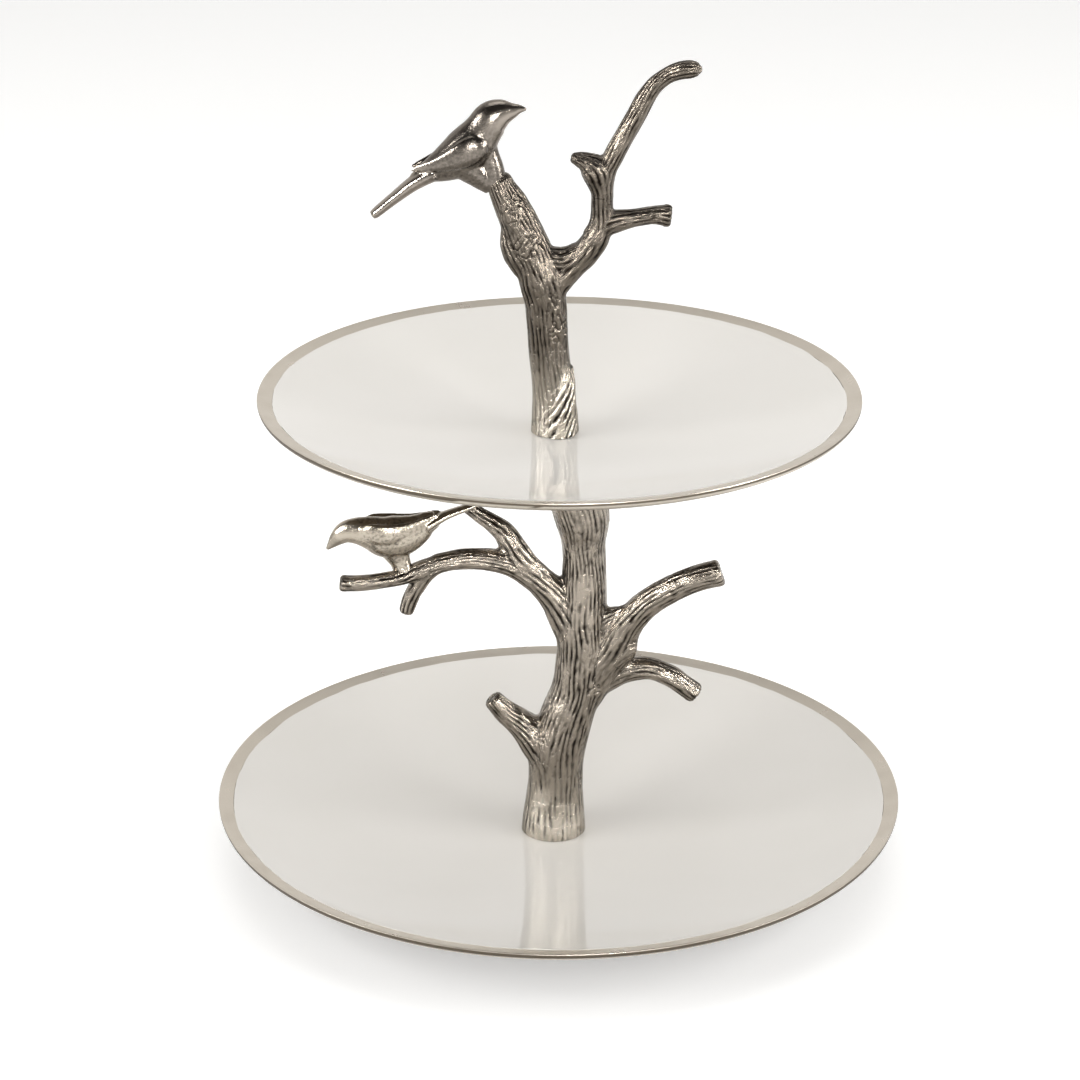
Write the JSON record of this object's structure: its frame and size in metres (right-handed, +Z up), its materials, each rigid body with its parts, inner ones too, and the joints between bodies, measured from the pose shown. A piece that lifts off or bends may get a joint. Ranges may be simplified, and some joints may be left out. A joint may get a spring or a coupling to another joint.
{
  "type": "two-tier cake stand",
  "caption": "Two shallow round enamelled dishes stacked on a cast tree-trunk stem with side branches, topped by a cast branch handle; a cast bird perches on each tier.",
  "frame": {"origin": "on the stem axis at table level, under the middle of the lower dish", "axes": "+Z up along the stem, -Y towards the front, +X to the right side where the open hooked branch is; the birds are on the -X side"},
  "size_m": [0.33, 0.33, 0.3967],
  "materials": {
    "nickel_dish": "cast aluminium, nickel plated, hand rubbed to a satin lip",
    "nickel_bark": "sand-cast aluminium with bark grooves, nickel plated and polished",
    "nickel_bird": "sand-cast aluminium, nickel plated and polished",
    "enamel_white": "poured resin enamel, high gloss, warm off-white",
    "zinc_steel": "zinc plated steel",
    "washer_steel": "zinc plated steel, stamped",
    "pad_rubber": "soft black rubber sheet",
    "foot_rubber": "moulded rubber bumper"
  },
  "bodies": {
    "base": {"lower_dish": "nickel_dish", "lower_enamel": "enamel_white", "bumper_feet": "foot_rubber", "base_screw": "zinc_steel", "base_washer": "washer_steel"},
    "stem_pad_ring": {"stem_pad": "pad_rubber"},
    "stem": {"trunk": "nickel_bark", "lower_bird": "nickel_bird", "joining_stud": "zinc_steel", "trunk_top_pad": "pad_rubber"},
    "upper_tier": {"upper_dish": "nickel_dish", "upper_enamel": "enamel_white"},
    "handle_pad_ring": {"handle_pad": "pad_rubber"},
    "handle": {"branch_handle": "nickel_bark", "upper_bird": "nickel_bird"}
  },
  "joints": [
    {"name": "stem_rise", "type": "slide", "parent": "base", "child": "stem_pad_ring", "axis": [0, 0, 1], "range_m": [0, 0.0101]},
    {"name": "stem_unscrew", "type": "hinge", "parent": "stem_pad_ring", "child": "stem", "pos_m": [0, 0, 0.011], "axis": [0, 0, 1], "range_deg": [0, 2880]},
    {"name": "upper_tier_lift", "type": "slide", "parent": "stem", "child": "upper_tier", "axis": [0, 0, 1], "range_m": [0, 0.02]},
    {"name": "handle_rise", "type": "slide", "parent": "upper_tier", "child": "handle_pad_ring", "axis": [0, 0, 1], "range_m": [0, 0.0101]},
    {"name": "handle_unscrew", "type": "hinge", "parent": "handle_pad_ring", "child": "handle", "pos_m": [0, 0, 0.219], "axis": [0, 0, 1], "range_deg": [0, 2880]}
  ],
  "couplings": [
    {"joint": "stem_rise", "follows": "stem_unscrew", "m_per_rad": 0.00019894},
    {"joint": "handle_rise", "follows": "handle_unscrew", "m_per_rad": 0.00019894}
  ]
}
